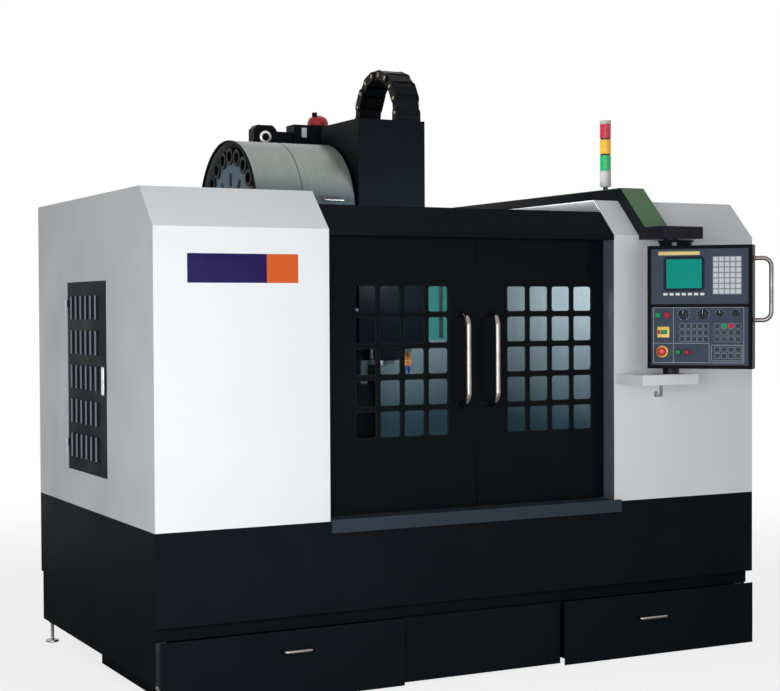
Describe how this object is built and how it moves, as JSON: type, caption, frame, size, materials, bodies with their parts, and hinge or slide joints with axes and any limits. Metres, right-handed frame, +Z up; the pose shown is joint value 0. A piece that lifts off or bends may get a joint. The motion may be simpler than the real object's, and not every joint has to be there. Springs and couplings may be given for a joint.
{
  "type": "cnc machining center",
  "caption": "Enclosed vertical machining centre: sliding windowed doors, T-slot table, spindle head with cable chain, tool drum, swivelling control unit.",
  "frame": {"origin": "middle of the footprint's bounding box, on the floor", "axes": "+X to the operator's right along the front, +Y from the front to the rear, +Z up"},
  "size_m": [2.761, 2.3924, 2.5551],
  "materials": {
    "white_paint": "satin powder coat",
    "black_paint": "gloss black enamel",
    "grey_paint": "satin grey enamel",
    "pale_steel": "pale grey sheet",
    "sill_blue": "blue-grey enamel",
    "cubicle_grey": "light grey powder coat",
    "cast_grey": "painted casting",
    "cast_green": "painted casting",
    "ground_steel": "ground",
    "chrome": "polished",
    "glass": "laminated glass",
    "black_plastic": "moulded black plastic",
    "motor_black": "black lacquer",
    "red_plastic": "moulded red plastic",
    "panel_slate": "slate blue-grey panel",
    "screen_green": "lit display",
    "key_grey": "moulded keys",
    "key_red": "red button",
    "key_green": "green button",
    "lens_mix": "coloured lenses",
    "cover_green": "green enamel",
    "nozzle_orange": "orange plastic"
  },
  "bodies": {
    "machine": {"levelling_feet": "ground_steel", "bed_casting": "cast_grey", "column_casting": "cast_green", "guide_rails": "ground_steel", "base_pan": "grey_paint", "front_skirt": "black_paint", "base_skirts": "black_paint", "left_cabinet": "white_paint", "right_cabinet": "white_paint", "chamber_guards": "pale_steel", "door_sill": "sill_blue", "door_frame": "black_paint", "front_cover": "ground_steel", "motor_shelf": "grey_paint", "z_servo_motor": "motor_black", "z_motor_cap": "red_plastic", "magazine_motor": "motor_black", "magazine_bracket": "cast_grey", "magazine_shroud": "grey_paint", "tool_change_arm": "ground_steel", "electrical_cabinet": "cubicle_grey", "pendant_arm": "black_paint", "pendant_arm_cover": "cover_green", "pendant_shelf": "white_paint", "signal_tower": "black_plastic", "tower_lenses": "lens_mix"},
    "left_door": {"left_door": "black_paint", "left_door_glass": "glass", "left_door_handle": "chrome"},
    "right_door": {"right_door": "black_paint", "right_door_glass": "glass", "right_door_handle": "chrome"},
    "saddle": {"saddle": "cast_grey", "saddle_cover": "ground_steel"},
    "middle_cover": {"middle_cover": "ground_steel"},
    "table": {"table": "cast_grey"},
    "head": {"head_casting": "cast_green", "head_hood": "black_paint", "spindle_motor": "motor_black", "coolant_nozzles": "nozzle_orange"},
    "spindle": {"spindle": "ground_steel"},
    "cable_chain": {"cable_chain": "black_plastic"},
    "magazine": {"magazine_disc": "grey_paint", "tool_pots": "black_plastic"},
    "left_tray": {"left_tray": "black_paint"},
    "right_tray": {"right_tray": "black_paint"},
    "side_door": {"side_door": "black_paint"},
    "electrical_door": {"electrical_door": "cubicle_grey"},
    "pendant": {"pendant_box": "panel_slate", "pendant_handle": "chrome", "lcd_screen": "screen_green", "keypads": "key_grey"},
    "e_stop": {"e_stop": "key_red"},
    "cycle_start": {"cycle_start": "key_green"},
    "feed_hold": {"feed_hold": "key_red"},
    "power_on": {"power_on": "key_green"},
    "power_off": {"power_off": "key_red"},
    "feed_dial": {"feed_dial": "black_plastic"},
    "spindle_dial": {"spindle_dial": "black_plastic"},
    "mode_knob": {"mode_knob": "black_plastic"}
  },
  "joints": [
    {"name": "left_door_slide", "type": "slide", "parent": "machine", "child": "left_door", "axis": [-1, 0, 0], "range_m": [0, 0.59]},
    {"name": "right_door_slide", "type": "slide", "parent": "machine", "child": "right_door", "axis": [1, 0, 0], "range_m": [0, 0.535]},
    {"name": "saddle_feed", "type": "slide", "parent": "machine", "child": "saddle", "axis": [0, 1, 0], "range_m": [-0.2, 0.2]},
    {"name": "middle_cover_slide", "type": "slide", "parent": "machine", "child": "middle_cover", "axis": [0, 1, 0], "range_m": [-0.101, 0.101]},
    {"name": "table_feed", "type": "slide", "parent": "saddle", "child": "table", "axis": [1, 0, 0], "range_m": [-0.325, 0.325]},
    {"name": "head_feed", "type": "slide", "parent": "machine", "child": "head", "axis": [0, 0, 1], "range_m": [-0.25, 0.25]},
    {"name": "spindle_turn", "type": "hinge", "parent": "head", "child": "spindle", "pos_m": [0.0055, 0.16625, 1.3], "axis": [0, 0, 1], "continuous": true},
    {"name": "chain_follow", "type": "slide", "parent": "machine", "child": "cable_chain", "axis": [0, 0, 1], "range_m": [-0.126, 0.126]},
    {"name": "magazine_turn", "type": "hinge", "parent": "machine", "child": "magazine", "pos_m": [-0.5795, 0.38625, 1.888], "axis": [1, 0, 0], "continuous": true},
    {"name": "left_tray_slide", "type": "slide", "parent": "machine", "child": "left_tray", "axis": [0, -1, 0], "range_m": [0, 0.6]},
    {"name": "right_tray_slide", "type": "slide", "parent": "machine", "child": "right_tray", "axis": [0, -1, 0], "range_m": [0, 0.6]},
    {"name": "side_door_hinge", "type": "hinge", "parent": "machine", "child": "side_door", "pos_m": [-1.3755, 0.37775, 1.2], "axis": [0, 0, -1], "range_deg": [0, 110]},
    {"name": "electrical_door_hinge", "type": "hinge", "parent": "machine", "child": "electrical_door", "pos_m": [1.2745, 1.18325, 1], "axis": [0, 0, -1], "range_deg": [0, 110]},
    {"name": "pendant_swivel", "type": "hinge", "parent": "machine", "child": "pendant", "pos_m": [0.8255, -0.87375, 1.5], "axis": [0, 0, 1], "range_deg": [-55, 60]},
    {"name": "e_stop_push", "type": "slide", "parent": "pendant", "child": "e_stop", "axis": [0.7314, 0.682, 0], "range_m": [0, 0.005]},
    {"name": "power_on_push", "type": "slide", "parent": "pendant", "child": "power_on", "axis": [0.7314, 0.682, 0], "range_m": [0, 0.003], "stiffness_N_per_m": 400},
    {"name": "power_off_push", "type": "slide", "parent": "pendant", "child": "power_off", "axis": [0.7314, 0.682, 0], "range_m": [0, 0.003], "stiffness_N_per_m": 400},
    {"name": "cycle_start_push", "type": "slide", "parent": "pendant", "child": "cycle_start", "axis": [0.7314, 0.682, 0], "range_m": [0, 0.003], "stiffness_N_per_m": 400},
    {"name": "feed_hold_push", "type": "slide", "parent": "pendant", "child": "feed_hold", "axis": [0.7314, 0.682, 0], "range_m": [0, 0.003], "stiffness_N_per_m": 400},
    {"name": "feed_dial_turn", "type": "hinge", "parent": "pendant", "child": "feed_dial", "pos_m": [0.81576, -0.97035, 1.449], "axis": [0.7314, 0.682, 0], "range_deg": [-150, 150]},
    {"name": "spindle_dial_turn", "type": "hinge", "parent": "pendant", "child": "spindle_dial", "pos_m": [0.87032, -1.02885, 1.449], "axis": [0.7314, 0.682, 0], "range_deg": [-120, 120]},
    {"name": "mode_knob_turn", "type": "hinge", "parent": "pendant", "child": "mode_knob", "pos_m": [0.9167, -1.07859, 1.453], "axis": [0.7314, 0.682, 0], "range_deg": [-60, 60]}
  ],
  "couplings": [
    {"joint": "chain_follow", "follows": "head_feed", "ratio": 0.5},
    {"joint": "middle_cover_slide", "follows": "saddle_feed", "ratio": 0.5}
  ]
}
